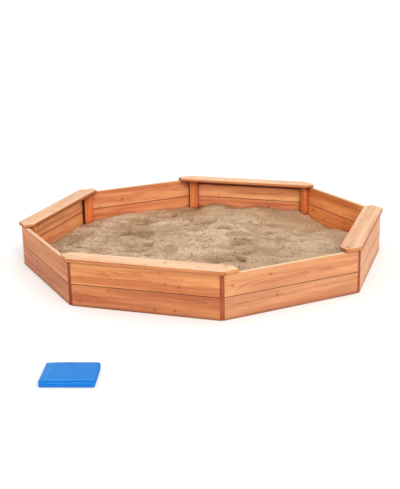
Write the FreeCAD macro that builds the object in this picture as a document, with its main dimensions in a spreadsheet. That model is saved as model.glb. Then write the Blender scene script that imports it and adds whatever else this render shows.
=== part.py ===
"""Octagonal timber sandbox with four seat planks, its sand and its folded cover.

Millimetres, +Z up. The origin is on the ground at the middle of the octagon. The front wall
faces -Y. The sides are numbered counter-clockwise from the front, 45 degrees apart.
"""
import FreeCAD, Part
import math
import os

import Sketcher

Vector = FreeCAD.Vector

# The driving dimensions. Each one is a cell of the sheet "Dims" under the same name.
DIMENSIONS = {
    "across_flats": 1980,       # outer face to opposite outer face
    "board_width": 118,         # height of one wall board, two to a wall
    "board_gap": 1,             # joint between the lower and the upper board
    "board_thick": 19,
    "board_round": 1.5,         # eased long edges
    "corner_setback": 13,       # from the outer vertex back to a board's end
    "post_width": 56,           # along the wall that the post lies flat against
    "post_depth": 30,
    "post_nose": 12,            # ridge inside the corner that bears on the next wall
    "post_round": 1.5,
    "seat_width": 115,
    "seat_thick": 19,
    "seat_overhang": 10,        # seat plank beyond the wall's outer face
    "seat_tip_overhang": 5,     # seat plank's pointed end beyond the next wall's outer face
    "seat_mitre": 72,           # depth of the long cut at each end of a seat plank
    "seat_round": 2,
    "screw_shank": 4,
    "screw_head": 8,
    "screw_length": 45,
    "seat_screw_length": 55,
    "screw_sink": 0.2,          # head below the timber's face
    "hole_clearance": 0.25,     # around the shank, on the radius
    "screw_from_edge": 26,      # wall screw to the board's long edge
    "screw_from_end": 8,        # wall screw to the board's end
    "seat_screw_pitch": 250,    # between the seat screws along the wall
    "liner_thick": 1,
    "sand_level": 36,           # height of the sand before its mounds
    "cover_length": 240,
    "cover_width": 204,
    "cover_thick": 36,
    "cover_corner": 14,
    "cover_round": 9,
    "cover_gap": 796,           # from the front wall's outer face to the cover's middle
    "cover_offset": -29,        # the cover's middle along X
    "cover_turn": 16,           # degrees about Z
}

SIDES = ["front", "front_right", "right", "back_right", "back", "back_left", "left", "front_left"]
SIDE_STEP = 45.0
HALF_STEP = SIDE_STEP / 2

# The sand's mounds and hollows: x, y, height and spread, all in millimetres.
MOUNDS = [
    (0, 100, 52, 520),
    (160, 880, 44, 190),
    (-190, 900, 42, 110),
    (520, -80, 18, 230),
    (-360, 180, 20, 200),
    (-480, -420, -14, 260),
    (260, 380, -12, 150),
    (-900, 100, -14, 300),
    (680, 680, -16, 300),
]

doc = FreeCAD.newDocument("Sandbox")
dims = doc.addObject("Spreadsheet::Sheet", "Dims")
for row, (alias, value) in enumerate(DIMENSIONS.items(), start=1):
    dims.set(f"A{row}", alias)
    dims.set(f"B{row}", str(value))
    dims.setAlias(f"B{row}", alias)
doc.recompute()


def size(alias):
    """A driving dimension, read back from the sheet."""
    return float(dims.get(alias))


# Expressions that several pieces share.
APOTHEM = "Dims.across_flats / 2"
INNER_APOTHEM = f"({APOTHEM} - Dims.board_thick)"
INNER_HALF = f"{INNER_APOTHEM} * tan({HALF_STEP})"
WALL_HEIGHT = "(2 * Dims.board_width + Dims.board_gap)"
BOARD_HALF = f"({APOTHEM} * tan({HALF_STEP}) - Dims.corner_setback)"
BOARD_SHORT = f"({INNER_HALF} - {BOARD_HALF})"     # how far a board stops short of the inner corner
SEAT_APOTHEM = f"({APOTHEM} + Dims.seat_overhang)"
SEAT_OUTER_HALF = f"{SEAT_APOTHEM} * tan({HALF_STEP})"
SHANK_RADIUS = "Dims.screw_shank / 2"
HOLE_RADIUS = f"({SHANK_RADIUS} + Dims.hole_clearance)"
COUNTERSINK = f"Dims.screw_head / 2 - {SHANK_RADIUS}"

# The middles of the two posts under a seat, from the wall's middle and its inner face. Its own
# post is at +X, and the next wall's post is at -X.
OWN_POST_X = f"{INNER_HALF} - Dims.post_width / 2"
OWN_POST_Y = "Dims.post_depth / 2"
NEXT_POST_X = f"{INNER_HALF} + (Dims.post_width - Dims.post_depth) / 2 * sin({SIDE_STEP})"
NEXT_POST_Y = f"(Dims.post_width + Dims.post_depth) / 2 * sin({SIDE_STEP})"

parts = []


# ---------------------------------------------------------------- sketch and body helpers

def new_body(label):
    body = doc.addObject("PartDesign::Body", label)
    body.Label = label
    parts.append(body)
    return body


def new_sketch(body, name, plane):
    """An empty sketch on one of the body's own origin planes."""
    sketch = body.newObject("Sketcher::SketchObject", name)
    origin = next(item for item in body.Origin.OriginFeatures if item.Role == plane)
    sketch.AttachmentSupport = (origin, [""])
    sketch.MapMode = "FlatFace"
    return sketch


def value_of(expression):
    """Evaluate a sheet expression now, to give a sketch its starting shape."""
    return float(dims.evalExpression(expression))


def pin(sketch, geometry, point, kind, sign, expression):
    """Hold a point's distance from the sketch's origin to an expression."""
    if sign == 0:
        axis = -2 if kind == "DistanceX" else -1
        sketch.addConstraint(Sketcher.Constraint("PointOnObject", geometry, point, axis))
        return
    ends = (-1, 1, geometry, point) if sign > 0 else (geometry, point, -1, 1)
    index = sketch.addConstraint(Sketcher.Constraint(kind, *ends, value_of(expression)))
    sketch.setExpression(f"Constraints[{index}]", expression)


def draw_polygon(sketch, corners):
    """A closed outline. A corner is (x sign, x expression, y sign, y expression)."""
    places = [Vector(sx * value_of(ex) if sx else 0, sy * value_of(ey) if sy else 0, 0)
              for sx, ex, sy, ey in corners]
    count = len(corners)
    for index in range(count):
        sketch.addGeometry(Part.LineSegment(places[index], places[(index + 1) % count]), False)
    for index in range(count):
        follower = (index + 1) % count
        sketch.addConstraint(Sketcher.Constraint("Coincident", index, 2, follower, 1))
    for index, (sx, ex, sy, ey) in enumerate(corners):
        pin(sketch, index, 1, "DistanceX", sx, ex)
        pin(sketch, index, 1, "DistanceY", sy, ey)


def draw_holes(sketch, centres):
    """Clearance holes for screws. A centre is given as a polygon's corner is."""
    for sx, ex, sy, ey in centres:
        place = Vector(sx * value_of(ex) if sx else 0, sy * value_of(ey) if sy else 0, 0)
        circle = Part.Circle(place, Vector(0, 0, 1), value_of(HOLE_RADIUS))
        index = sketch.addGeometry(circle, False)
        pin(sketch, index, 3, "DistanceX", sx, ex)
        pin(sketch, index, 3, "DistanceY", sy, ey)
        radius = sketch.addConstraint(Sketcher.Constraint("Radius", index, value_of(HOLE_RADIUS)))
        sketch.setExpression(f"Constraints[{radius}]", HOLE_RADIUS)


def add_pad(body, sketch, length, reverse=False):
    pad = body.newObject("PartDesign::Pad", "Pad")
    pad.Profile = sketch
    pad.Reversed = reverse
    pad.setExpression("Length", length)
    sketch.Visibility = False
    doc.recompute()
    return pad


def add_through_holes(body, sketch, reverse=False):
    before = body.Shape.Volume
    pocket = body.newObject("PartDesign::Pocket", "Holes")
    pocket.Profile = sketch
    pocket.Type = "ThroughAll"
    pocket.Reversed = reverse
    sketch.Visibility = False
    doc.recompute()
    if body.Shape.Volume >= before:
        raise RuntimeError(f"{body.Label}: the screw holes cut nothing")
    return pocket


def edge_names(shape, wanted):
    """Names of the shape's edges for which wanted(edge) is true."""
    return [f"Edge{number}" for number, edge in enumerate(shape.Edges, start=1) if wanted(edge)]


def add_dressing(body, kind, base, names, expression):
    """A Chamfer or a Fillet on the named edges of a feature."""
    feature = body.newObject(f"PartDesign::{kind}", kind)
    feature.Base = (base, names)
    feature.setExpression("Size" if kind == "Chamfer" else "Radius", expression)
    doc.recompute()
    return feature


def is_circle_at(edge, axis, level):
    """True for a full circle whose plane is at the given level along an axis."""
    if not isinstance(edge.Curve, Part.Circle):
        return False
    return abs(getattr(edge.Curve.Center, axis) - level) < 1e-6


def is_line_along(edge, axis):
    if not isinstance(edge.Curve, Part.Line):
        return False
    return abs(getattr(edge.tangentAt(edge.FirstParameter), axis)) > 1 - 1e-6


def place(body, radius, bearing, height, turn):
    """Turn a piece about Z and move it out to a radius. At bearing 0 outwards is -Y."""
    body.Placement.Rotation = FreeCAD.Rotation(Vector(0, 0, 1), turn)
    body.setExpression(".Placement.Base.x", f"{radius} * sin({bearing})")
    body.setExpression(".Placement.Base.y", f"-({radius}) * cos({bearing})")
    body.setExpression(".Placement.Base.z", height)


# ---------------------------------------------------------------- timber

def make_board(label, side, height):
    """A wall board. X along it, Z up, its outer face at Y = 0."""
    body = new_body(label)
    outline = new_sketch(body, "Outline", "XZ_Plane")
    draw_polygon(outline, [
        (-1, BOARD_HALF, 0, None),
        (1, BOARD_HALF, 0, None),
        (1, BOARD_HALF, 1, "Dims.board_width"),
        (-1, BOARD_HALF, 1, "Dims.board_width"),
    ])
    add_pad(body, outline, "Dims.board_thick", reverse=True)
    holes = new_sketch(body, "ScrewHoles", "XZ_Plane")
    along = f"{BOARD_HALF} - Dims.screw_from_end"
    low = "Dims.screw_from_edge"
    high = "Dims.board_width - Dims.screw_from_edge"
    draw_holes(holes, [(sign, along, 1, level) for sign in (-1, 1) for level in (low, high)])
    pocket = add_through_holes(body, holes)
    mouths = edge_names(pocket.Shape, lambda edge: is_circle_at(edge, "y", 0))
    chamfer = add_dressing(body, "Chamfer", pocket, mouths, COUNTERSINK)
    long_edges = edge_names(chamfer.Shape, lambda edge: is_line_along(edge, "x"))
    add_dressing(body, "Fillet", chamfer, long_edges, "Dims.board_round")
    place(body, APOTHEM, side * SIDE_STEP, height, side * SIDE_STEP)


def make_post(label, side):
    """The post at a wall's +X end, flat against that wall and bearing on the next one.

    The walls' inner corner is at the origin, X runs along the wall and the box's inside is
    towards +Y. A rib fills the gap between the two walls' boards, flush with their outer faces.
    """
    body = new_body(label)
    outline = new_sketch(body, "Outline", "XY_Plane")
    draw_polygon(outline, [
        (-1, BOARD_SHORT, 0, None),
        (-1, BOARD_SHORT, -1, "Dims.board_thick"),
        (1, f"(Dims.board_thick + {BOARD_SHORT}) * cos({SIDE_STEP})",
         -1, f"(Dims.board_thick - {BOARD_SHORT}) * sin({SIDE_STEP})"),
        (1, f"{BOARD_SHORT} * cos({SIDE_STEP})", 1, f"{BOARD_SHORT} * sin({SIDE_STEP})"),
        (1, "Dims.post_nose", 1, "Dims.post_nose"),
        (0, None, 1, "Dims.post_depth"),
        (-1, "Dims.post_width", 1, "Dims.post_depth"),
        (-1, "Dims.post_width", 0, None),
    ])
    pad = add_pad(body, outline, f"{WALL_HEIGHT} - Dims.liner_thick")
    depth = size("post_depth")
    inner = edge_names(pad.Shape, lambda edge: is_line_along(edge, "z")
                       and abs(edge.Vertexes[0].Point.y - depth) < 1e-6)
    add_dressing(body, "Fillet", pad, inner, "Dims.post_round")
    place(body, f"{INNER_APOTHEM} / cos({HALF_STEP})", HALF_STEP + side * SIDE_STEP,
          "Dims.liner_thick", side * SIDE_STEP)


def make_seat(label, side):
    """A seat plank. X along it, its outer edge at Y = 0, its mitred ends towards +Y."""
    body = new_body(label)
    outline = new_sketch(body, "Outline", "XY_Plane")
    drawn_back = f"(Dims.seat_overhang - Dims.seat_tip_overhang) / cos({SIDE_STEP})"
    tip = f"{SEAT_OUTER_HALF} + Dims.seat_mitre - {drawn_back}"
    inner = f"{tip} + Dims.seat_mitre - Dims.seat_width"
    draw_polygon(outline, [
        (-1, SEAT_OUTER_HALF, 0, None),
        (1, SEAT_OUTER_HALF, 0, None),
        (1, tip, 1, "Dims.seat_mitre"),
        (1, inner, 1, "Dims.seat_width"),
        (-1, inner, 1, "Dims.seat_width"),
        (-1, tip, 1, "Dims.seat_mitre"),
    ])
    add_pad(body, outline, "Dims.seat_thick")
    holes = new_sketch(body, "ScrewHoles", "XY_Plane")
    wall_inside = "Dims.seat_overhang + Dims.board_thick"
    over_wall = "Dims.seat_overhang + Dims.board_thick / 2"
    centres = [(1, OWN_POST_X, 1, f"{wall_inside} + {OWN_POST_Y}"),
               (-1, NEXT_POST_X, 1, f"{wall_inside} + {NEXT_POST_Y}")]
    centres += [(sign, "Dims.seat_screw_pitch", 1, over_wall) for sign in (-1, 0, 1)]
    draw_holes(holes, centres)
    pocket = add_through_holes(body, holes, reverse=True)
    top = size("seat_thick")
    mouths = edge_names(pocket.Shape, lambda edge: is_circle_at(edge, "z", top))
    chamfer = add_dressing(body, "Chamfer", pocket, mouths, COUNTERSINK)
    rims = edge_names(chamfer.Shape, lambda edge: isinstance(edge.Curve, Part.Line)
                      and all(abs(corner.Point.z - top) < 1e-6 for corner in edge.Vertexes))
    add_dressing(body, "Fillet", chamfer, rims, "Dims.seat_round")
    place(body, SEAT_APOTHEM, side * SIDE_STEP, WALL_HEIGHT, side * SIDE_STEP)


# ---------------------------------------------------------------- screws

def screw_solid(length):
    """A countersunk wood screw. Its head's top is at the origin and it points along -Z."""
    shank = size("screw_shank") / 2
    head = size("screw_head") / 2
    head_height = head - shank
    tip_height = 2 * shank
    shank_height = length - head_height - tip_height
    down = Vector(0, 0, -1)
    cone = Part.makeCone(head, shank, head_height, Vector(0, 0, 0), down)
    body = Part.makeCylinder(shank, shank_height, Vector(0, 0, -head_height), down)
    tip = Part.makeCone(shank, shank / 4, tip_height, Vector(0, 0, tip_height - length), down)
    recess_width = 0.35 * size("screw_head")
    recess = Part.makeBox(recess_width, recess_width, head_height,
                          Vector(-recess_width / 2, -recess_width / 2, -0.75 * head_height))
    return cone.fuse([body, tip]).cut(recess).removeSplitter()


def screw_group(label, length, places):
    """One node of separate, identical screws at the given placements."""
    screw = screw_solid(length)
    group = doc.addObject("Part::Feature", label)
    group.Label = label
    copies = []
    for placement in places:
        copy = screw.copy()
        copy.Placement = placement
        copies.append(copy)
    group.Shape = Part.makeCompound(copies)
    parts.append(group)


def turned(angle, point, tilt=None):
    """Placement of a point given for the front side, turned round to another side."""
    turn = FreeCAD.Rotation(Vector(0, 0, 1), angle)
    rotation = turn if tilt is None else turn.multiply(tilt)
    return FreeCAD.Placement(turn.multVec(point), rotation)


def make_wall_screws():
    """Two screws at each end of each wall board, driven square to the wall."""
    level = -(size("across_flats") / 2 - size("screw_sink"))
    along = value_of(BOARD_HALF) - size("screw_from_end")
    into_wall = FreeCAD.Rotation(Vector(1, 0, 0), 90)
    heights = []
    for course in range(2):
        foot = course * (size("board_width") + size("board_gap"))
        heights.append(foot + size("screw_from_edge"))
        heights.append(foot + size("board_width") - size("screw_from_edge"))
    places = [turned(side * SIDE_STEP, Vector(sign * along, level, height), into_wall)
              for side in range(len(SIDES)) for sign in (-1, 1) for height in heights]
    screw_group("wall_screws", size("screw_length"), places)


def make_seat_screws():
    """One screw into the post at each end of a seat plank, and three into the wall's top edge."""
    inner_apothem = size("across_flats") / 2 - size("board_thick")
    top = value_of(WALL_HEIGHT) + size("seat_thick") - size("screw_sink")
    over_wall = -(inner_apothem + size("board_thick") / 2)
    points = [Vector(value_of(OWN_POST_X), value_of(OWN_POST_Y) - inner_apothem, top),
              Vector(-value_of(NEXT_POST_X), value_of(NEXT_POST_Y) - inner_apothem, top)]
    points += [Vector(sign * size("seat_screw_pitch"), over_wall, top) for sign in (-1, 0, 1)]
    places = [turned(side * SIDE_STEP, point) for side in range(0, len(SIDES), 2) for point in points]
    screw_group("seat_screws", size("seat_screw_length"), places)


# ---------------------------------------------------------------- liner, sand and cover

def make_liner():
    """A flat sheet on the ground that fills the octagon inside the boards."""
    body = new_body("ground_liner")
    outline = new_sketch(body, "Outline", "XY_Plane")
    corner_radius = f"{INNER_APOTHEM} / cos({HALF_STEP})"
    corners = []
    for index in range(len(SIDES)):
        angle = HALF_STEP + index * SIDE_STEP
        cosine = math.cos(math.radians(angle))
        sine = math.sin(math.radians(angle))
        corners.append((math.copysign(1, cosine), f"{corner_radius} * {abs(cosine)!r}",
                        math.copysign(1, sine), f"{corner_radius} * {abs(sine)!r}"))
    draw_polygon(outline, corners)
    add_pad(body, outline, "Dims.liner_thick")


def sand_height(x, y):
    """Height of the sand's surface over the ground."""
    height = size("sand_level")
    for centre_x, centre_y, rise, spread in MOUNDS:
        distance = math.hypot(x - centre_x, y - centre_y)
        height += rise * math.exp(-((distance / spread) ** 2))
    return height


def make_sand():
    """Loose sand: an octagonal prism under a mounded surface, fitted round the corner posts."""
    inner_apothem = size("across_flats") / 2 - size("board_thick")
    reach = inner_apothem / math.cos(math.radians(HALF_STEP))
    columns = 25
    marks = [reach * (2 * index / (columns - 1) - 1) for index in range(columns)]
    grid = [[Vector(x, y, sand_height(x, y)) for y in marks] for x in marks]
    surface = Part.BSplineSurface()
    surface.interpolate(grid)
    floor = size("liner_thick")
    column = surface.toShape().extrude(Vector(0, 0, -value_of(WALL_HEIGHT)))
    corners = []
    for index in range(len(SIDES) + 1):
        angle = math.radians(HALF_STEP + index * SIDE_STEP)
        corners.append(Vector(reach * math.cos(angle), reach * math.sin(angle), floor))
    prism = Part.Face(Part.makePolygon(corners)).extrude(Vector(0, 0, value_of(WALL_HEIGHT)))
    posts = [item.Shape for item in parts if item.Label.startswith("corner_post")]
    sand = doc.addObject("Part::Feature", "sand_fill")
    sand.Label = "sand_fill"
    sand.Shape = prism.common(column).cut(posts)
    parts.append(sand)


def make_cover():
    """The cover, folded into a flat packet that lies on the ground in front of the box."""
    body = new_body("folded_cover")
    outline = new_sketch(body, "Outline", "XY_Plane")
    half_length = "Dims.cover_length / 2"
    half_width = "Dims.cover_width / 2"
    draw_polygon(outline, [(sx, half_length, sy, half_width)
                           for sx, sy in ((-1, -1), (1, -1), (1, 1), (-1, 1))])
    pad = add_pad(body, outline, "Dims.cover_thick")
    uprights = edge_names(pad.Shape, lambda edge: is_line_along(edge, "z"))
    corners = add_dressing(body, "Fillet", pad, uprights, "Dims.cover_corner")
    top = size("cover_thick")
    rims = edge_names(corners.Shape, lambda edge: all(
        abs(vertex.Point.z - edge.Vertexes[0].Point.z) < 1e-6 for vertex in edge.Vertexes)
        and min(abs(edge.Vertexes[0].Point.z), abs(edge.Vertexes[0].Point.z - top)) < 1e-6)
    add_dressing(body, "Fillet", corners, rims, "Dims.cover_round")
    body.Placement.Rotation = FreeCAD.Rotation(Vector(0, 0, 1), size("cover_turn"))
    body.setExpression(".Placement.Base.x", "Dims.cover_offset")
    body.setExpression(".Placement.Base.y", f"-({APOTHEM} + Dims.cover_gap)")


# ---------------------------------------------------------------- the assembly

for side_index, side_name in enumerate(SIDES):
    make_board(f"lower_board_{side_name}", side_index, "0")
    make_board(f"upper_board_{side_name}", side_index, "Dims.board_width + Dims.board_gap")
for side_index in range(len(SIDES)):
    make_post(f"corner_post_{side_index + 1}", side_index)
for side_index in range(0, len(SIDES), 2):
    make_seat(f"seat_plank_{SIDES[side_index]}", side_index)
doc.recompute()
make_wall_screws()
make_seat_screws()
make_liner()
make_sand()
make_cover()
doc.recompute()

for item in doc.Objects:
    if "Invalid" in item.State or "Error" in item.State:
        raise RuntimeError(f"{item.Label} failed: {item.State}")
for item in parts:
    if item.Shape.isNull() or not item.Shape.isValid():
        raise RuntimeError(f"{item.Label} has no valid shape")

os.makedirs("parts", exist_ok=True)
for item in parts:
    item.Shape.exportStep(f"parts/{item.Label}.step")
    print(f"{item.Label}: {len(item.Shape.Solids)} solids, {item.Shape.Volume / 1e6:.3f} litres")
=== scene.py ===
"""Looks for the octagonal sandbox: stained timber, loose sand, a folded cover and a ground liner."""
import math

import bmesh
import bpy
import numpy as np
from mathutils import Matrix, Vector


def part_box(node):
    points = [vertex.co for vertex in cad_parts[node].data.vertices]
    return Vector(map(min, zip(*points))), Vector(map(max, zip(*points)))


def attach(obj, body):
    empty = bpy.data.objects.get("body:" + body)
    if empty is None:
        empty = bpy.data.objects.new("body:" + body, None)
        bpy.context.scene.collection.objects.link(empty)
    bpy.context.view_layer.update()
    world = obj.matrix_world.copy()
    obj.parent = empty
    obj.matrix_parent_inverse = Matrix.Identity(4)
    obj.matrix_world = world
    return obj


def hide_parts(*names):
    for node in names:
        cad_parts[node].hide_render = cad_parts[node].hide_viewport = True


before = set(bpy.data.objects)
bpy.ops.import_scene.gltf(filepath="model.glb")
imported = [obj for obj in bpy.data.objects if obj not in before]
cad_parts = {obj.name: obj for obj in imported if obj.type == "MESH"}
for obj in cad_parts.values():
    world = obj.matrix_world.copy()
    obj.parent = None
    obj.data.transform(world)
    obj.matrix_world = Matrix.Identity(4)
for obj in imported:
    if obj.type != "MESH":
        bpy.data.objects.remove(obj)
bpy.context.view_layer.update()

SIDES = ["front", "front_right", "right", "back_right", "back", "back_left", "left", "front_left"]
SIDE_STEP = math.radians(45)
SEED = 7


# ---------------------------------------------------------------- sizes read from the frame

def centre_of(node):
    low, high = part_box(node)
    return (Vector(low) + Vector(high)) / 2


def size_of(node):
    low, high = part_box(node)
    return Vector(high) - Vector(low)


BOARD_THICK = size_of("lower_board_front").y
INNER_APOTHEM = -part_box("lower_board_front")[0][1] - BOARD_THICK
LINER_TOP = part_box("ground_liner")[1][2]


# ---------------------------------------------------------------- node graph helper

class Graph:
    """Short calls for building a node material. An argument is a socket or a plain value."""

    def __init__(self, name):
        self.material = bpy.data.materials.new(name)
        self.material.use_nodes = True
        self.tree = self.material.node_tree
        self.tree.nodes.clear()
        output = self.tree.nodes.new("ShaderNodeOutputMaterial")
        self.shader = self.tree.nodes.new("ShaderNodeBsdfPrincipled")
        self.tree.links.new(self.shader.outputs["BSDF"], output.inputs["Surface"])

    def feed(self, socket, value):
        if isinstance(value, bpy.types.NodeSocket):
            self.tree.links.new(value, socket)
        elif value is not None:
            if socket.type == "RGBA" and len(value) == 3:
                value = (*value, 1.0)
            socket.default_value = value

    def node(self, kind, **settings):
        made = self.tree.nodes.new(kind)
        for key, value in settings.items():
            setattr(made, key, value)
        return made

    def math(self, operation, first, second=None, third=None, clamp=False):
        made = self.node("ShaderNodeMath", operation=operation, use_clamp=clamp)
        for socket, value in zip(made.inputs, (first, second, third)):
            self.feed(socket, value)
        return made.outputs[0]

    def vector(self, operation, first, second=None):
        made = self.node("ShaderNodeVectorMath", operation=operation)
        self.feed(made.inputs[0], first)
        self.feed(made.inputs[1], second)
        return made.outputs["Value" if operation == "LENGTH" else "Vector"]

    def turned(self, vector, angle):
        """A vector turned by angle about Z."""
        made = self.node("ShaderNodeVectorRotate", rotation_type="Z_AXIS")
        self.feed(made.inputs["Vector"], vector)
        made.inputs["Angle"].default_value = angle
        return made.outputs[0]

    def split(self, vector):
        made = self.node("ShaderNodeSeparateXYZ")
        self.feed(made.inputs[0], vector)
        return made.outputs

    def join(self, x, y, z):
        made = self.node("ShaderNodeCombineXYZ")
        for socket, value in zip(made.inputs, (x, y, z)):
            self.feed(socket, value)
        return made.outputs[0]

    def noise(self, vector, scale, detail=3.0, rough=0.55):
        made = self.node("ShaderNodeTexNoise")
        self.feed(made.inputs["Vector"], vector)
        made.inputs["Scale"].default_value = scale
        made.inputs["Detail"].default_value = detail
        made.inputs["Roughness"].default_value = rough
        return made.outputs["Fac"]

    def voronoi(self, vector, scale, dimensions="3D"):
        made = self.node("ShaderNodeTexVoronoi", voronoi_dimensions=dimensions)
        self.feed(made.inputs["Vector"], vector)
        made.inputs["Scale"].default_value = scale
        return made.outputs

    def ramp(self, value, low, high, to_low=0.0, to_high=1.0):
        """A smooth step from low to high."""
        made = self.node("ShaderNodeMapRange", interpolation_type="SMOOTHSTEP")
        for socket, item in zip(made.inputs, (value, low, high, to_low, to_high)):
            self.feed(socket, item)
        return made.outputs[0]

    def mix(self, factor, first, second, blend="MIX"):
        made = self.node("ShaderNodeMix", data_type="RGBA", blend_type=blend)
        self.feed(made.inputs[0], factor)
        self.feed(made.inputs[6], first)
        self.feed(made.inputs[7], second)
        return made.outputs[2]

    def bump(self, height, distance, strength=1.0, normal=None):
        made = self.node("ShaderNodeBump")
        made.inputs["Strength"].default_value = strength
        made.inputs["Distance"].default_value = distance
        self.feed(made.inputs["Height"], height)
        self.feed(made.inputs["Normal"], normal)
        return made.outputs[0]

    def crevices(self, distance, samples=8, only_local=False):
        """Openness of a point: 1 in the open, less where other faces are nearer than distance."""
        made = self.node("ShaderNodeAmbientOcclusion", samples=samples, only_local=only_local)
        made.inputs["Distance"].default_value = distance
        return made.outputs["AO"]

    def finish(self, colour, roughness, normal=None, **fixed):
        self.feed(self.shader.inputs["Base Color"], colour)
        self.feed(self.shader.inputs["Roughness"], roughness)
        self.feed(self.shader.inputs["Normal"], normal)
        for name, value in fixed.items():
            self.shader.inputs[name.replace("_", " ")].default_value = value
        return self.material


# ---------------------------------------------------------------- timber

WALL_TONE = ((0.635, 0.252, 0.092), (0.40, 0.100, 0.031))     # early wood and late wood
END_GRAIN = (0.50, 0.115, 0.042)
# The post's rib between the boards' ends: end-grain stain, darkened further as painted shade of the slot.
RIB_DARK = (0.27, 0.042, 0.014)
RIB_LIGHT = (0.37, 0.082, 0.030)
# A pale tone for sun-bleached wood, also used as painted light on upward faces and as a painted highlight
# along arrises.
BLEACHED_AND_LIT = (0.78, 0.52, 0.32)
SEAT_TOP = (0.89, 0.605, 0.385)
KNOT = (0.085, 0.024, 0.010)
KNOT_DENSITY = 8.0              # possible knots to a metre
KNOT_RADII = (0.0014, 0.0052)
RINGS_PER_METRE = (150, 200)
# The colour of painted shade: in crevices, along joints, under the seats, on the posts' flanks and in their
# rib slots.
PAINTED_SHADE = (0.075, 0.010, 0.004)
# Brighter tints for the boards' inner faces, per wall: painted light in place of the light the inside
# lacks.
INSIDE_LIGHT_TINT = {"left": (1.55, 2.05, 2.45), "back": (1.54, 1.82, 2.15), "back_right": (1.54, 1.60, 1.42),
               "back_left": (1.40, 1.52, 1.72)}
PLAIN_INSIDE_LIGHT = (1.40, 1.48, 1.50)
POST_TINT = (1.32, 1.05, 0.90)
LOWER_TINT = (0.90, 0.80, 0.76)
NO_TINT = (1.0, 1.0, 1.0)
BOARD_TINT = {"upper_board_front": (1.10, 1.15, 1.08), "lower_board_front": (0.86, 0.72, 0.64),
              "upper_board_back": (1.10, 1.20, 1.28), "lower_board_back": (0.86, 0.72, 0.70),
              "upper_board_left": (1.16, 1.14, 1.22), "lower_board_left": (0.98, 0.80, 0.72)}
TOP_WEAR_AND_LIGHT = 0.90                 # how pale an upward face is: sun bleaching and painted light from above
# How pale each seat's top is: sun bleaching and painted light from above.
SEAT_WEAR_AND_LIGHT = {"front": 0.93, "right": 0.84, "back": 0.86, "left": 0.80}
FADED = {"right": 0.50, "front_right": 0.22, "front": 0.06, "front_left": 0.12}     # sun on the outer faces


def turned_box(node, angle):
    """A node's low and high corners in a frame turned by angle about Z."""
    turn = Matrix.Rotation(-angle, 3, "Z")
    places = np.array([turn @ vertex.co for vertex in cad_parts[node].data.vertices])
    return Vector(places.min(axis=0)), Vector(places.max(axis=0))


def knot_pattern(g, along, across, grain, rng):
    """Ragged cores of knots, and a halo of disturbed grain round each.

    Knots stand square to the wide face, so two coordinates place them.
    """
    knots = g.voronoi(g.join(along, g.math("ADD", across, rng.uniform(0, 9)), 0.0),
                      KNOT_DENSITY, "2D")
    distance = g.math("DIVIDE", knots["Distance"], KNOT_DENSITY)
    chance = g.split(knots["Color"])
    present = g.ramp(chance[0], 0.40, 0.43)
    radius = g.ramp(chance[1], 0.0, 1.0, *KNOT_RADII)
    ragged = g.math("MULTIPLY_ADD", g.noise(grain, 210.0, 2.0), 0.0050, distance)
    core = g.math("MULTIPLY", present, g.ramp(ragged, g.math("ADD", radius, 0.0042),
                                              g.math("MULTIPLY", radius, 0.8), 0.0, 0.92))
    halo = g.math("MULTIPLY", present, g.ramp(distance, g.math("MULTIPLY", radius, 5.5), 0.0))
    return core, halo


def growth_rings(g, across, deep, grain, halo, rng):
    """The late wood of rings round a pith line that wanders behind the face."""
    wander = g.math("SUBTRACT", g.noise(g.vector("MULTIPLY", grain, (0.9, 5.0, 5.0)), 1.6, 2.0), 0.5)
    ring_y = g.math("MULTIPLY_ADD", wander, 0.05,
                    g.math("ADD", deep, rng.uniform(0.02, 0.06) * rng.choice([-1, 1])))
    ring_z = g.math("MULTIPLY_ADD", wander, 0.07, g.math("ADD", across, rng.uniform(-0.03, 0.03)))
    reach = g.math("MULTIPLY_ADD", halo, 0.010, g.vector("LENGTH", g.join(0.0, ring_y, ring_z)))
    phase = g.math("FRACT", g.math("MULTIPLY", reach, rng.uniform(*RINGS_PER_METRE)))
    return g.math("MULTIPLY", g.ramp(phase, 0.25, 0.93), g.ramp(phase, 1.0, 0.94))


def finish_board(g, colour, crevice_shade, across, rim, inside, ends, upper, sheltered):
    """A board's top arris with a painted highlight, painted shade along its joints, and a painted shadow of
    the seat on a sheltered one's inside.
    """
    crevice_shade = g.math("MULTIPLY", crevice_shade, g.math("MULTIPLY_ADD", inside, -0.60, 1.0))
    above = g.ramp(across, 0.0, 0.001)
    # Painted shade along the board's joints and its foot.
    joint_shade = g.ramp(rim, 0.0030, 0.0010, 0.0, 0.66)
    if upper:
        # Painted highlight along the upper board's top arris.
        arris_highlight = g.math("MULTIPLY", above, g.ramp(rim, 0.0045, 0.0015, 0.0, 0.85))
        colour = g.mix(arris_highlight, colour, BLEACHED_AND_LIT)
        joint_shade = g.math("MULTIPLY", joint_shade, g.math("SUBTRACT", 1.0, above))
        if sheltered:
            # Painted shadow of the seat plank on the upper part of the inside face.
            seat_shadow = g.math("MULTIPLY", g.math("MULTIPLY", above, inside),
                          g.ramp(rim, 0.0355, 0.0300, 0.0, 0.85))
            colour = g.mix(seat_shadow, colour, PAINTED_SHADE)
    colour = g.mix(joint_shade, colour, PAINTED_SHADE)
    return colour, g.math("MULTIPLY", crevice_shade, g.math("SUBTRACT", 1.0, ends))


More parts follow.
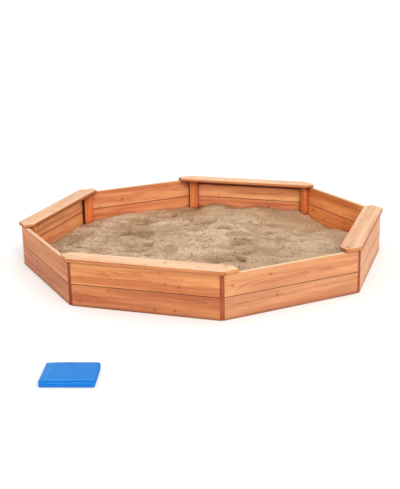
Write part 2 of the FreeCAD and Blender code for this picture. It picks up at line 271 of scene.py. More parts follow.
def finish_post(g, colour, crevice_shade, amount, blotch, facing_x, facing_y):
    """Painted shade on a post's flank inside the corner, and its rib outside between the boards' ends,
    darkened partly by end-grain stain and partly by painted shade of the slot.
    """
    # Painted shade on the flank beside the wall.
    flank = g.math("MULTIPLY", g.ramp(facing_x, 0.70, 0.80), g.ramp(facing_y, -0.2, 0.1))
    colour = g.mix(g.math("MULTIPLY", flank, 0.88), colour, PAINTED_SHADE)
    outer = g.ramp(facing_y, -0.3, -0.6)
    # The rib's dark tones: end-grain stain with painted shade of the slot.
    rib = g.mix(g.ramp(blotch, 0.42, 0.62), RIB_DARK, RIB_LIGHT)
    colour = g.mix(outer, colour, g.mix(g.math("MULTIPLY", amount, 0.4), rib, PAINTED_SHADE))
    return colour, g.math("MULTIPLY", crevice_shade, g.math("SUBTRACT", 1.0, outer))


def finish_seat(g, colour, late, rim, over_foot, facing_y):
    """A seat's rims that look away from the front are darker, and a painted shadow lines the foot of its
    sides.
    """
    world_y = g.split(g.node("ShaderNodeNewGeometry").outputs["Normal"])[1]
    away = g.ramp(world_y, -0.25, 0.0)
    colour = g.mix(g.math("MULTIPLY", away, g.ramp(rim, 0.0040, 0.0010, 0.0, 0.65)), colour, late)
    # Painted shadow along the lower few millimetres of the seat's sides, strongest on the inner edge.
    underside_shadow = g.ramp(facing_y, -0.5, 0.5, 0.34, 0.90)
    underside_shadow = g.math("MULTIPLY", underside_shadow, g.ramp(over_foot, 0.0055, 0.0030))
    return g.mix(underside_shadow, colour, PAINTED_SHADE)


def timber(node, angle, kind, rng, tint=NO_TINT, faded=0.0, inner_light_tint=NO_TINT, sheltered=False,
           wear_and_light=TOP_WEAR_AND_LIGHT):
    """Stained softwood for one piece, which is turned by angle about Z.

    A board stands on edge with its grain along its local X, a seat lies flat, and a post's grain
    runs up. Local -Y is the outer side. A sheltered board has a seat plank over it.
    """
    low, high = turned_box(node, angle)
    half = (high - low) / 2
    g = Graph(f"timber_{node}")
    place = g.turned(g.node("ShaderNodeTexCoord").outputs["Object"], -angle)
    x, y, z = g.split(g.vector("SUBTRACT", place, tuple((low + high) / 2)))
    normal = g.node("ShaderNodeNewGeometry").outputs["Normal"]
    facing_x, facing_y, facing_z = g.split(g.turned(normal, -angle))
    along, across, deep = {"board": (x, z, y), "seat": (x, y, z), "post": (z, x, y)}[kind]
    half_across = {"board": half.z, "seat": half.y, "post": half.x}[kind]
    along = g.math("ADD", along, rng.uniform(-40, 40))
    grain = g.join(along, across, deep)
    core, halo = knot_pattern(g, along, across, grain, rng)
    late_wood = growth_rings(g, across, deep, grain, halo, rng)
    streaks = g.noise(g.vector("MULTIPLY", grain, (1.1, 26.0, 26.0)), 1.0, 4.0, 0.6)
    fibres = g.noise(g.vector("MULTIPLY", grain, (14.0, 420.0, 420.0)), 1.0, 2.0)
    blotch = g.noise(g.vector("MULTIPLY", grain, (3.0, 8.0, 8.0)), 1.0, 3.0)

    early, late = ((r * tint[0], gr * tint[1], b * tint[2]) for r, gr, b in WALL_TONE)
    amount = g.math("MULTIPLY_ADD", late_wood, 0.34, g.ramp(streaks, 0.40, 0.66, -0.10, 0.78))
    amount = g.math("ADD", amount, g.ramp(fibres, 0.3, 0.8, -0.16, 0.22), clamp=True)
    colour = g.mix(amount, early, late)
    colour = g.mix(g.ramp(blotch, 0.42, 0.70, 0.0, 0.42), colour, late)
    if kind == "board":
        outside = g.ramp(facing_y, -0.5, -0.9)
        inside = g.ramp(facing_y, 0.5, 0.9)
        # Painted light: the inner faces are tinted brighter than the outer ones.
        colour = g.mix(inside, colour, inner_light_tint, "MULTIPLY")
        pale = g.mix(g.math("MULTIPLY", amount, 0.5), BLEACHED_AND_LIT, early)
        colour = g.mix(g.math("MULTIPLY", outside, faded), colour, pale)
    # Upward faces are paler: sun bleaching and painted light from above.
    if kind != "post":
        top = SEAT_TOP if kind == "seat" else BLEACHED_AND_LIT
        pale = g.mix(g.math("MULTIPLY", amount, 0.65), top, early)
        colour = g.mix(g.ramp(facing_z, 0.5, 0.95, 0.0, wear_and_light), colour, pale)
    colour = g.mix(g.math("MULTIPLY", halo, 0.30), colour, late)
    colour = g.mix(core, colour, KNOT)

    # Painted shade darkens the wood where pieces meet and in crevices.
    rim = g.math("SUBTRACT", half_across, g.math("ABSOLUTE", across))
    crevice_shade = g.ramp(g.crevices(0.040), 0.80, 0.36, 0.0, 0.88)
    if kind == "board":
        ends = g.ramp(g.math("ABSOLUTE", facing_x), 0.6, 0.85, 0.0, 0.9)
        colour = g.mix(ends, colour, g.mix(late_wood, END_GRAIN, tuple(c * 0.7 for c in END_GRAIN)))
        colour, crevice_shade = finish_board(g, colour, crevice_shade, across, rim, inside, ends,
                                    node.startswith("upper"), sheltered)
    elif kind == "post":
        colour, crevice_shade = finish_post(g, colour, crevice_shade, amount, blotch, facing_x, facing_y)
    else:
        colour = finish_seat(g, colour, late, rim, g.math("ADD", z, half.z), facing_y)
    colour = g.mix(crevice_shade, colour, PAINTED_SHADE)

    relief = g.math("MULTIPLY_ADD", late_wood, 0.5, g.math("MULTIPLY", fibres, 0.5))
    relief = g.math("SUBTRACT", relief, g.math("MULTIPLY", core, 0.5))
    roughness = g.ramp(streaks, 0.3, 0.7, 0.68, 0.54)
    return g.finish(colour, roughness, g.bump(relief, 0.0006, 0.6), Specular_IOR_Level=0.28)


def paint(node, material):
    """Give a CAD node one material in every slot."""
    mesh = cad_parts[node].data
    mesh.materials.clear()
    mesh.materials.append(material)


def vary(tint, rng):
    """A tint a little lighter or darker, and a little redder or yellower."""
    gain = rng.uniform(0.96, 1.04)
    warmth = rng.uniform(0.94, 1.06)
    return tint[0] * gain, tint[1] * gain * warmth, tint[2] * gain * warmth ** 2


def finish_timber():
    rng = np.random.default_rng(SEED)
    for index, side in enumerate(SIDES):
        for level, level_tint in (("lower", LOWER_TINT), ("upper", NO_TINT)):
            node = f"{level}_board_{side}"
            tint = BOARD_TINT.get(node, level_tint)
            paint(node, timber(node, index * SIDE_STEP, "board", rng, vary(tint, rng),
                               FADED.get(side, 0.0), INSIDE_LIGHT_TINT.get(side, PLAIN_INSIDE_LIGHT),
                               sheltered=index % 2 == 0))
    for index in range(len(SIDES)):
        node = f"corner_post_{index + 1}"
        paint(node, timber(node, index * SIDE_STEP, "post", rng, vary(POST_TINT, rng)))
    for index in range(0, len(SIDES), 2):
        node = f"seat_plank_{SIDES[index]}"
        paint(node, timber(node, index * SIDE_STEP, "seat", rng, vary(NO_TINT, rng),
                           wear_and_light=SEAT_WEAR_AND_LIGHT[SIDES[index]]))


def finish_screws():
    g = Graph("bronzed_screw")
    place = g.node("ShaderNodeTexCoord").outputs["Object"]
    mottle = g.noise(place, 700.0, 3.0)
    scratches = g.noise(g.vector("MULTIPLY", place, (900.0, 900.0, 90.0)), 1.0, 2.0)
    colour = g.mix(g.ramp(mottle, 0.35, 0.7), (0.42, 0.155, 0.062), (0.60, 0.25, 0.105))
    # Painted shade in the recesses of the screw heads.
    colour = g.mix(g.ramp(g.crevices(0.003, samples=6), 0.8, 0.2, 0.0, 0.6), colour,
                   (0.12, 0.04, 0.02))
    roughness = g.ramp(scratches, 0.3, 0.7, 0.35, 0.55)
    material = g.finish(colour, roughness, g.bump(scratches, 0.0002, 0.4), Metallic=0.35)
    for node in ("wall_screws", "seat_screws"):
        paint(node, material)


# ---------------------------------------------------------------- mesh helpers

def octagon_distance(x, y):
    """The apothem of the octagon that passes through a point."""
    return np.maximum.reduce([abs(x), abs(y), (abs(x) + abs(y)) / math.sqrt(2)])


def flat_grid(marks, reach):
    """A flat lattice of square faces, without those beyond an octagon of apothem reach."""
    mesh = bmesh.new()
    grid = [[mesh.verts.new((x, y, 0.0)) for y in marks] for x in marks]
    for i in range(len(marks) - 1):
        for j in range(len(marks) - 1):
            corner = grid[i][j].co
            if octagon_distance(corner.x, corner.y) < reach:
                mesh.faces.new((grid[i][j], grid[i + 1][j], grid[i + 1][j + 1], grid[i][j + 1]))
    bmesh.ops.delete(mesh, geom=[v for v in mesh.verts if not v.link_faces], context="VERTS")
    return mesh


def cut(mesh, faces, point, normal, clear=False):
    """Split faces along a plane, and with clear drop what is on the normal's side."""
    # A dict keeps its order, where a set's would change from run to run.
    rims = dict.fromkeys(item for face in faces for item in (*face.verts, *face.edges))
    geometry = [*rims, *faces]
    bmesh.ops.bisect_plane(mesh, geom=geometry, plane_co=point, plane_no=normal,
                           clear_outer=clear)


def trim_to_octagon(mesh, apothem):
    for index in range(len(SIDES)):
        angle = index * SIDE_STEP
        normal = Vector((math.sin(angle), -math.cos(angle), 0))
        cut(mesh, mesh.faces, normal * apothem, normal, clear=True)


def add_object(name, mesh):
    """A linked, smooth object made of a bmesh, which is freed."""
    for face in mesh.faces:
        face.smooth = True
    data = bpy.data.meshes.new(name)
    mesh.to_mesh(data)
    mesh.free()
    made = bpy.data.objects.new(name, data)
    bpy.context.collection.objects.link(made)
    return made


# ---------------------------------------------------------------- sand

# The CAD mounds and hollows: x, y, height and spread.
MOUNDS = [(0.0, 0.1, 0.052, 0.52), (0.16, 0.88, 0.044, 0.19), (-0.19, 0.90, 0.042, 0.11),
          (0.52, -0.08, 0.018, 0.23), (-0.36, 0.18, 0.020, 0.20), (-0.48, -0.42, -0.014, 0.26),
          (0.26, 0.38, -0.012, 0.15), (-0.90, 0.10, -0.014, 0.30), (0.68, 0.68, -0.016, 0.30)]
SAND_LEVEL = 0.036
SAND_PITCH = 0.0065
SAND_CLEARANCE = 0.0004         # to the boards and the posts
SAND_LEAST = 0.006              # over the liner, where it is thinnest
SAND_FOOT = 0.0002              # from the liner up to the sand's underside
DRIFTS = ((0.0110, 0.36, 14), (0.0100, 0.19, 1), (0.0060, 0.085, 2))     # height, cell and seed
DENTS = 56
DENT_LENGTH = (0.10, 0.24)
DENT_DEPTH = (0.005, 0.017)
CRUMBS = ((0, 2200, 0.0016, 0.0056), (1, 950, 0.0014, 0.0042))     # slot, count, smallest, largest
CRUMB_MARGIN = 0.055            # from the walls, clear of the posts


def lattice_noise(x, y, cell, seed):
    """Smooth value noise from -1 to 1 on a square lattice of the given cell size."""
    rng = np.random.default_rng(seed)
    table = rng.uniform(-1, 1, (64, 64))
    u = x / cell + 1000.0
    v = y / cell + 1000.0
    column = np.floor(u).astype(int)
    row = np.floor(v).astype(int)
    fu = u - column
    fv = v - row
    fu = fu * fu * fu * (fu * (fu * 6 - 15) + 10)
    fv = fv * fv * fv * (fv * (fv * 6 - 15) + 10)
    corners = [table[(column + i) % 64, (row + j) % 64] for i in (0, 1) for j in (0, 1)]
    near = corners[0] * (1 - fv) + corners[1] * fv
    far = corners[2] * (1 - fv) + corners[3] * fv
    return near * (1 - fu) + far * fu


def dent(x, y, place, angle, length, width):
    """0 in the middle of an oval dent, 1 on its rim."""
    cosine, sine = math.cos(angle), math.sin(angle)
    along = (x - place[0]) * cosine + (y - place[1]) * sine
    across = -(x - place[0]) * sine + (y - place[1]) * cosine
    return np.hypot(along / (length / 2), across / (width / 2))


def sand_height(x, y):
    """The CAD mounds with drifts, clods, footprints and hollows on them, and that relief alone."""
    mounds = np.full_like(x, SAND_LEVEL)
    for centre_x, centre_y, rise, spread in MOUNDS:
        mounds += rise * np.exp(-((x - centre_x) ** 2 + (y - centre_y) ** 2) / spread ** 2)
    height = mounds.copy()
    for rise, cell, seed in DRIFTS:
        height += rise * lattice_noise(x, y, cell, seed)
    ridges = lattice_noise(x + 0.05 * lattice_noise(x, y, 0.11, 9), 1.6 * y, 0.14, 8)
    height += 0.0060 * (0.5 - np.abs(ridges)) * 2
    rough = np.clip(0.55 - 0.55 * (x + 0.6 * y) + 0.8 * lattice_noise(x, y, 0.24, 5), 0.25, 1.3)
    clods = lattice_noise(x, y, 0.034, 3)
    height += 0.0040 * np.abs(clods) ** 1.4 * np.sign(clods) * rough
    height += 0.0030 * np.clip(lattice_noise(x, y, 0.0165, 4), -0.4, 1) * rough
    height += 0.0012 * lattice_noise(x, y, 0.008, 6)
    drift_x = x + 0.030 * lattice_noise(x, y, 0.075, 10) + 0.010 * lattice_noise(x, y, 0.028, 11)
    drift_y = y + 0.030 * lattice_noise(x, y, 0.075, 12) + 0.010 * lattice_noise(x, y, 0.028, 13)
    rng = np.random.default_rng(SEED + 3)
    for _ in range(DENTS):
        radius = 0.86 * math.sqrt(rng.uniform(0, 1))
        turn = rng.uniform(0, 2 * math.pi)
        place = (radius * math.cos(turn), radius * math.sin(turn))
        length = rng.uniform(*DENT_LENGTH)
        ring = dent(drift_x, drift_y, place, rng.uniform(0, math.pi), length,
                    length * rng.uniform(0.34, 0.8))
        depth = rng.uniform(*DENT_DEPTH)
        height -= depth * np.exp(-ring ** 3)
        height += 0.34 * depth * np.exp(-((ring - 1.35) / 0.34) ** 2)
    return np.maximum(height, LINER_TOP + SAND_LEAST), height - mounds


def clear_post(mesh, index, clearance):
    """Cut the footprint of corner post number index out of a flat mesh."""
    node = f"corner_post_{index + 1}"
    angle = index * SIDE_STEP
    low, high = turned_box(node, angle)
    turn = Matrix.Rotation(angle, 3, "Z")
    nose = INNER_APOTHEM * math.tan(SIDE_STEP / 2)
    places = [turn.transposed() @ vertex.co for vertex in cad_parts[node].data.vertices]
    beyond = max(place.x for place in places if place.y > -INNER_APOTHEM + clearance) - nose
    corner = Vector((nose, -INNER_APOTHEM, 0))
    flank_foot = corner + Vector((beyond, beyond, 0))
    flank_head = Vector((nose, high.y, 0))
    along_flank = flank_head - flank_foot
    sides = [(Vector((low.x, 0, 0)), Vector((-1, 0, 0))), (flank_head, Vector((0, 1, 0))),
             (flank_foot, Vector((along_flank.y, -along_flank.x, 0)).normalized())]
    middle = turn @ ((low + high) / 2)
    reach = 2 * (high - low).xy.length
    for point, normal in sides:
        near = [face for face in mesh.faces
                if (face.calc_center_median() - middle).xy.length < reach]
        cut(mesh, near, turn @ (point + normal * clearance), turn @ normal)
    under = [face for face in mesh.faces
             if (face.calc_center_median() - middle).xy.length < reach
             and all((turn.transposed() @ face.calc_center_median() - point).dot(normal) < clearance
                     for point, normal in sides)]
    bmesh.ops.delete(mesh, geom=under, context="FACES")


def make_sand():
    """The sand's surface with a skirt down to the liner, a foot to close it, and crumbs on top."""
    marks = np.arange(-INNER_APOTHEM - SAND_PITCH, INNER_APOTHEM + 2 * SAND_PITCH, SAND_PITCH)
    mesh = flat_grid(marks, INNER_APOTHEM + 3 * SAND_PITCH)
    trim_to_octagon(mesh, INNER_APOTHEM - SAND_CLEARANCE)
    for index in range(len(SIDES)):
        clear_post(mesh, index, SAND_CLEARANCE)
    mesh.verts.ensure_lookup_table()
    places = np.array([vertex.co[:2] for vertex in mesh.verts])
    inner = [not vertex.is_boundary for vertex in mesh.verts]
    rng = np.random.default_rng(SEED + 1)
    jitter = rng.uniform(-0.25, 0.25, places.shape) * SAND_PITCH
    places[inner] += jitter[inner]
    heights, relief = sand_height(places[:, 0], places[:, 1])
    relief_layer = mesh.verts.layers.float.new("relief")
    for vertex, (x, y), z, local in zip(mesh.verts, places, heights, relief):
        vertex.co = (x, y, z)
        vertex[relief_layer] = local
    rim = [edge for edge in mesh.edges if edge.is_boundary]
    extruded = bmesh.ops.extrude_edge_only(mesh, edges=rim)["geom"]
    skirt = [item for item in extruded if isinstance(item, bmesh.types.BMVert)]
    for vertex in skirt:
        vertex.co.z = LINER_TOP + SAND_FOOT
    foot = [item for item in extruded if isinstance(item, bmesh.types.BMEdge)]
    bmesh.ops.contextual_create(mesh, geom=foot)
    bmesh.ops.recalc_face_normals(mesh, faces=mesh.faces)
    add_crumbs(mesh, places, heights)
    sand = add_object("sand_surface", mesh)
    sand.data.materials.append(sand_material())
    sand.data.materials.append(bark_material())
    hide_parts("sand_fill")
    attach(sand, "sandbox")


def add_crumbs(mesh, places, heights):
    """Loose crumbs of sand and dark bits of bark, half sunk into the surface."""
    rng = np.random.default_rng(SEED + 2)
    ball = bmesh.new()
    bmesh.ops.create_icosphere(ball, subdivisions=1, radius=1.0)
    corners = np.array([vertex.co[:] for vertex in ball.verts])
    faces = np.array([[vertex.index for vertex in face.verts] for face in ball.faces])
    ball.free()
    far = octagon_distance(places[:, 0], places[:, 1])
    open_ground = np.flatnonzero(far < INNER_APOTHEM - CRUMB_MARGIN)
    points, loops, kinds = [], [], []
    for kind, count, smallest, largest in CRUMBS:
        for index in rng.choice(open_ground, count, replace=False):
            radius = smallest + (largest - smallest) * rng.uniform(0, 1) ** 2.2
            squash = rng.uniform(0.45, 0.9, 3) if kind == 0 else rng.uniform(0.3, 1.3, 3)
            turn = Matrix.Rotation(rng.uniform(0, 2 * math.pi), 3, "Z")
            turn = turn @ Matrix.Rotation(rng.uniform(-0.6, 0.6), 3, "X")
            shape = corners * squash * radius * rng.uniform(0.85, 1.15, (len(corners), 1))
            loops.extend(faces + len(corners) * len(points))
            points.append(shape @ np.array(turn).T + (*places[index], heights[index] + 0.3 * radius))
            kinds.extend([kind] * len(faces))
    crumbs = bpy.data.meshes.new("crumbs")
    crumbs.from_pydata(np.concatenate(points).tolist(), [], [loop.tolist() for loop in loops])
    crumbs.polygons.foreach_set("material_index", kinds)
    mesh.from_mesh(crumbs)
    bpy.data.meshes.remove(crumbs)


def sand_material():
    g = Graph("loose_sand")
    place = g.node("ShaderNodeTexCoord").outputs["Object"]
    relief = g.node("ShaderNodeAttribute", attribute_name="relief").outputs["Fac"]
    grains = g.voronoi(place, 520.0)
    grain_tint = g.split(grains["Color"])
    side, depth, _ = g.split(place)
    damp = g.math("MULTIPLY_ADD", side, -0.07, g.noise(place, 3.0, 3.0))
    clumps = g.noise(place, 30.0, 4.0, 0.65)
    speckle = g.noise(place, 140.0, 3.0, 0.7)
    colour = g.mix(g.ramp(clumps, 0.34, 0.66), (0.63, 0.395, 0.225), (0.83, 0.570, 0.360))
    colour = g.mix(g.ramp(damp, 0.47, 0.62, 0.0, 0.50), colour, (0.49, 0.290, 0.155))
    # Painted light on the crests of the relief and painted shade in its hollows.
    colour = g.mix(g.ramp(relief, 0.003, 0.015, 0.0, 0.72), colour, (0.98, 0.745, 0.52))
    colour = g.mix(g.ramp(relief, 0.000, -0.013, 0.0, 0.80), colour, (0.33, 0.180, 0.090))
    colour = g.mix(g.ramp(speckle, 0.54, 0.66, 0.0, 0.62), colour, (0.90, 0.71, 0.52))
    colour = g.mix(g.ramp(speckle, 0.45, 0.33, 0.0, 0.75), colour, (0.24, 0.125, 0.065))
    colour = g.mix(g.ramp(grain_tint[0], 0.80, 0.86, 0.0, 0.45), colour, (0.92, 0.78, 0.61))
    colour = g.mix(g.ramp(grain_tint[1], 0.85, 0.91, 0.0, 0.70), colour, (0.11, 0.060, 0.034))
    # Darker towards the back; lighter towards the right as painted sunlight.
    colour = g.mix(g.ramp(depth, 0.30, 0.85, 0.0, 0.48), colour, (0.51, 0.280, 0.130))
    colour = g.mix(g.ramp(side, 0.15, 0.65, 0.0, 0.36), colour, (0.98, 0.74, 0.51))
    # Painted shade in pits and along the walls, where little sky is open.
    open_sky = g.crevices(0.05, only_local=True)
    colour = g.mix(g.ramp(open_sky, 0.94, 0.60, 0.0, 0.75), colour, (0.17, 0.085, 0.040))
    rough = g.math("MULTIPLY_ADD", speckle, 1.1, g.math("MULTIPLY", clumps, 0.6))
    coarse = g.bump(rough, 0.010, 1.0)
    fine = g.bump(grains["Distance"], 0.0016, 0.7, coarse)
    return g.finish(colour, 0.95, fine, Specular_IOR_Level=0.10)


def bark_material():
    g = Graph("bark_bits")
    place = g.node("ShaderNodeTexCoord").outputs["Object"]
    flecks = g.noise(place, 500.0, 3.0)
    colour = g.mix(flecks, (0.075, 0.042, 0.024), (0.20, 0.115, 0.065))
    return g.finish(colour, 0.85, g.bump(flecks, 0.0006, 0.6))


# ---------------------------------------------------------------- folded cover

COVER_FLAT = (2.24, 2.12)       # the cover's cut size, hems included
LENGTH_PANELS = 9
WIDTH_PANELS = 10
COVER_SLACK = 0.002             # between the folds and the packet's sides
TOP_SLACK = 0.0012


def fold_path(span, panels, rise, steps, bend_steps, rng):
    """A zigzag of straight panels and half-round bends, as (place, height, swing, direction).

    span is the width between the bends, and each panel stops a little short of it by chance.
    """
    radius = rise / 2
    path = []
    shorts = rng.uniform(0.0, 0.010, panels + 1) * span
    for panel in range(panels):
        forward = 1 if panel % 2 == 0 else -1
        start = -forward * (span / 2 - radius - shorts[panel])
        stop = forward * (span / 2 - radius - shorts[panel + 1])
        level = panel * rise
        for step in range(steps + 1):
            share = step / steps
            path.append((start + (stop - start) * share, level, 0.0, forward))
        if panel == panels - 1:
            break
        for step in range(1, bend_steps):
            swing = math.pi * step / bend_steps
            path.append((stop + forward * radius * math.sin(swing),
                         level + radius * (1 - math.cos(swing)), swing, forward))
    return path


def make_cover():
    """The whole cover as one sheet, folded along its length and then across its width."""
    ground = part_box("folded_cover")[0][2]
    middle = centre_of("folded_cover")
    length, width, thick = cover_size()
    rng = np.random.default_rng(SEED + 5)
    layer = (thick - TOP_SLACK) / (LENGTH_PANELS * WIDTH_PANELS)
    pile = layer * LENGTH_PANELS
    lengthwise = fold_path(length - COVER_SLACK, LENGTH_PANELS, layer, 10, 4, rng)
    widthwise = fold_path(width - COVER_SLACK, WIDTH_PANELS, pile, 9, 8, rng)
    mesh = bmesh.new()
    uv = mesh.loops.layers.uv.new("cloth")
    rows = []
    for across, level, swing, forward in widthwise:
        row = []
        for along, height, _, _ in lengthwise:
            # The pile turns over at each bend, so its layers swap from top to bottom.
            offset = (height - pile / 2 + layer / 2) * forward
            row.append(mesh.verts.new((along, across - forward * math.sin(swing) * offset,
                                       level + pile / 2 + math.cos(swing) * offset)))
        rows.append(row)
    for i in range(len(rows) - 1):
        for j in range(len(rows[0]) - 1):
            face = mesh.faces.new((rows[i][j], rows[i][j + 1], rows[i + 1][j + 1], rows[i + 1][j]))
            corners = ((j, i), (j + 1, i), (j + 1, i + 1), (j, i + 1))
            for loop, (u, v) in zip(face.loops, corners):
                loop[uv].uv = (u / len(rows[0]) * COVER_FLAT[0], v / len(rows) * COVER_FLAT[1])
    settle_cover(mesh, length, width)
    cover = add_object("cover_sheet", mesh)
    cover.data.transform(Matrix.Translation((middle.x, middle.y, ground))
                         @ Matrix.Rotation(cover_turn(), 4, "Z"))
    cover.data.materials.append(cover_material())
    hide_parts("folded_cover")
    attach(cover, "cover")


def cover_places():
    return np.array([vertex.co[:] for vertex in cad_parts["folded_cover"].data.vertices])


def cover_turn():
    """The packet's turn about Z: the one at which its shorter side is least."""
    places = cover_places()[:, :2]
    centre = places.mean(axis=0)
    best = None
    for degrees in np.arange(-45, 45, 0.5):
        angle = math.radians(degrees)
        across = np.array([-math.sin(angle), math.cos(angle)])
        spread = np.ptp((places - centre) @ across)
        if best is None or spread < best[0]:
            best = (spread, angle)
    return best[1]


def cover_size():
    """Length, width and thickness of the packet along its own sides."""
    places = cover_places()
    angle = cover_turn()
    along = places[:, :2] @ np.array([math.cos(angle), math.sin(angle)])
    across = places[:, :2] @ np.array([-math.sin(angle), math.cos(angle)])
    return np.ptp(along), np.ptp(across), np.ptp(places[:, 2])


def settle_cover(mesh, length, width):
    """Press the pile together towards its rim, so that its top is softly crowned."""
    places = np.array([vertex.co[:] for vertex in mesh.verts])
    edge_x = np.clip(1 - (abs(places[:, 0]) / (length / 2)), 0, 1)
    edge_y = np.clip(1 - (abs(places[:, 1]) / (width / 2)), 0, 1)
    rim = np.minimum(edge_x * length, edge_y * width) / 2
    crown = 1 - 0.20 * np.exp(-rim / 0.012) - 0.05 * np.exp(-rim / 0.04)
    waves = 0.030 * lattice_noise(places[:, 0], places[:, 1], 0.052, 21)
    waves += 0.014 * lattice_noise(places[:, 0], places[:, 1], 0.021, 22)
    squeeze = crown + waves - 0.030
    drift_x = 0.0022 * lattice_noise(places[:, 2] * 8, places[:, 1] * 0.6, 0.05, 23)
    drift_y = 0.0022 * lattice_noise(places[:, 2] * 8, places[:, 0] * 0.6, 0.05, 24)
    for vertex, factor, x, y in zip(mesh.verts, squeeze, drift_x, drift_y):
        vertex.co.z *= factor
        vertex.co.x = vertex.co.x * 0.985 + x
        vertex.co.y = vertex.co.y * 0.985 + y


def cover_material():
    g = Graph("cover_cloth")
    place = g.node("ShaderNodeTexCoord").outputs["Object"]
    cloth = g.node("ShaderNodeUVMap", uv_map="cloth").outputs[0]
    u, v, _ = g.split(cloth)
    warp = g.math("SINE", g.math("MULTIPLY", u, 9000.0))
    weft = g.math("SINE", g.math("MULTIPLY", v, 9000.0))
    weave = g.math("MULTIPLY", warp, weft)
    crinkle = g.noise(place, 30.0, 4.0, 0.6)
    crease = g.noise(g.vector("MULTIPLY", place, (9.0, 26.0, 9.0)), 1.0, 3.0)
    shadow = g.noise(place, 7.0, 2.0)
    colour = g.mix(g.ramp(crinkle, 0.3, 0.7), (0.005, 0.195, 0.63), (0.010, 0.240, 0.72))
    colour = g.mix(g.ramp(shadow, 0.4, 0.7, 0.0, 0.35), colour, (0.005, 0.165, 0.56))
    colour = g.mix(g.ramp(weave, -0.4, 0.6, 0.0, 0.10), colour, (0.01, 0.12, 0.45))
    hem = g.math("MINIMUM", g.math("MINIMUM", u, g.math("SUBTRACT", COVER_FLAT[0], u)),
                 g.math("MINIMUM", v, g.math("SUBTRACT", COVER_FLAT[1], v)))
    stitch = g.math("MULTIPLY", g.ramp(hem, 0.018, 0.0195), g.ramp(hem, 0.022, 0.0205))
    dashes = g.ramp(g.math("SINE", g.math("MULTIPLY", g.math("ADD", u, v), 1400.0)), -0.2, 0.2)
    colour = g.mix(g.math("MULTIPLY", stitch, dashes), colour, (0.08, 0.34, 0.75))
    relief = g.math("MULTIPLY_ADD", crease, 0.8, crinkle)
    soft = g.bump(relief, 0.004, 0.55)
    fine = g.bump(weave, 0.00015, 0.35, soft)
    return g.finish(colour, g.ramp(crinkle, 0.3, 0.7, 0.42, 0.55), fine,
                    Specular_IOR_Level=0.2, Sheen_Weight=0.04, Sheen_Roughness=0.4)


# ---------------------------------------------------------------- ground liner

LINER_PITCH = 0.02
LINER_CLEARANCE = 0.0008        # to the boards


def make_liner():
    """A flat octagon of non-woven cloth on the ground, with faint wrinkles."""
    reach = INNER_APOTHEM - LINER_CLEARANCE
    marks = np.linspace(-reach - LINER_PITCH, reach + LINER_PITCH, int(2 * reach / LINER_PITCH) + 3)
    mesh = flat_grid(marks, math.inf)
    trim_to_octagon(mesh, reach)
    places = np.array([vertex.co[:2] for vertex in mesh.verts])
    wrinkles = lattice_noise(places[:, 0], places[:, 1] * 2.2, 0.11, 31)
    wrinkles += 0.5 * lattice_noise(places[:, 0] * 2.0, places[:, 1], 0.06, 32)
    for vertex, wrinkle in zip(mesh.verts, wrinkles):
        vertex.co.z = LINER_TOP * (0.5 + 0.28 * wrinkle)
    liner = add_object("liner_sheet", mesh)
    liner.data.materials.append(liner_material())
    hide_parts("ground_liner")
    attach(liner, "sandbox")


def liner_material():
    g = Graph("non_woven_cloth")
    place = g.node("ShaderNodeTexCoord").outputs["Object"]
    fibres = g.noise(g.vector("MULTIPLY", place, (260.0, 900.0, 300.0)), 1.0, 3.0)
    crossed = g.noise(g.vector("MULTIPLY", place, (900.0, 260.0, 300.0)), 1.0, 3.0)
    bonds = g.voronoi(place, 420.0)["Distance"]
    mat = g.math("MULTIPLY", g.math("ADD", fibres, crossed), 0.5)
    colour = g.mix(g.ramp(mat, 0.35, 0.65), (0.012, 0.012, 0.013), (0.055, 0.055, 0.058))
    relief = g.math("ADD", mat, g.math("MULTIPLY", bonds, 0.5))
    return g.finish(colour, 0.9, g.bump(relief, 0.0004, 0.5))


# ---------------------------------------------------------------- floor, light and camera

CAMERA_PLACE = (1.630, -5.031, 1.665)
CAMERA_TURN = math.radians(18.206)
CAMERA_DIP = math.radians(16.762)
CAMERA_ROLL = math.radians(-1.026)
CAMERA_LENS = 83.04             # on a 36 mm wide frame
SURROUND = 0.90
WARM = (1.0, 0.975, 0.94)
WHITE = (1.0, 1.0, 1.0)


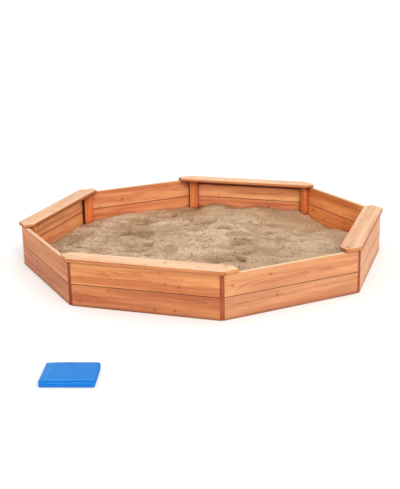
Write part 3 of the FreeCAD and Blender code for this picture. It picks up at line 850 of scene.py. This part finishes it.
def make_camera():
    data = bpy.data.cameras.new("camera")
    data.sensor_fit = "HORIZONTAL"
    data.sensor_width = 36
    data.lens = CAMERA_LENS
    camera = bpy.data.objects.new("camera", data)
    bpy.context.collection.objects.link(camera)
    camera.matrix_world = (Matrix.Translation(CAMERA_PLACE)
                           @ Matrix.Rotation(CAMERA_TURN, 4, "Z")
                           @ Matrix.Rotation(math.pi / 2 - CAMERA_DIP, 4, "X")
                           @ Matrix.Rotation(CAMERA_ROLL, 4, "Z"))
    bpy.context.scene.camera = camera


def make_floor():
    data = bpy.data.meshes.new("floor")
    half = 60.0
    drop = 0.0005               # under the pieces that stand on the ground
    data.from_pydata([(-half, -half, 0), (half, -half, 0), (half, half, 0), (-half, half, 0)],
                     [], [(0, 1, 2, 3)])
    floor = bpy.data.objects.new("floor", data)
    bpy.context.collection.objects.link(floor)
    floor.location.z = -drop
    g = Graph("pale_floor")
    place = g.node("ShaderNodeTexCoord").outputs["Object"]
    tint = g.mix(g.noise(place, 2.0), (0.945, 0.965, 0.975), (0.965, 0.985, 0.990))
    data.materials.append(g.finish(tint, 0.9, Specular_IOR_Level=0.1))


def add_sun(name, strength, width, colour, bearing, height):
    """A broad lamp at a bearing from the front towards the right. Its angles are in degrees."""
    data = bpy.data.lights.new(name, "SUN")
    data.energy = strength
    data.angle = math.radians(width)
    data.color = colour
    lamp = bpy.data.objects.new(name, data)
    bpy.context.collection.objects.link(lamp)
    lamp.rotation_euler = (math.pi / 2 - math.radians(height), 0.0, math.radians(bearing))


def make_light():
    """An even white surround, which the camera sees as pure white, a broad key and a weak fill."""
    world = bpy.data.worlds.new("studio")
    world.use_nodes = True
    tree = world.node_tree
    background = tree.nodes["Background"]
    background.inputs["Color"].default_value = (1.0, 0.995, 0.985, 1.0)
    seen = tree.nodes.new("ShaderNodeLightPath")
    strength = tree.nodes.new("ShaderNodeMapRange")
    strength.inputs["To Min"].default_value = SURROUND
    strength.inputs["To Max"].default_value = 1.0
    tree.links.new(seen.outputs["Is Camera Ray"], strength.inputs["Value"])
    tree.links.new(strength.outputs[0], background.inputs["Strength"])
    bpy.context.scene.world = world
    add_sun("key", strength=1.5, width=30, colour=WARM, bearing=34, height=36)
    add_sun("fill", strength=0.24, width=60, colour=WHITE, bearing=82, height=28)
    bpy.context.scene.view_settings.view_transform = "Standard"


make_camera()
finish_timber()
finish_screws()
make_sand()
make_cover()
make_liner()
make_floor()
make_light()
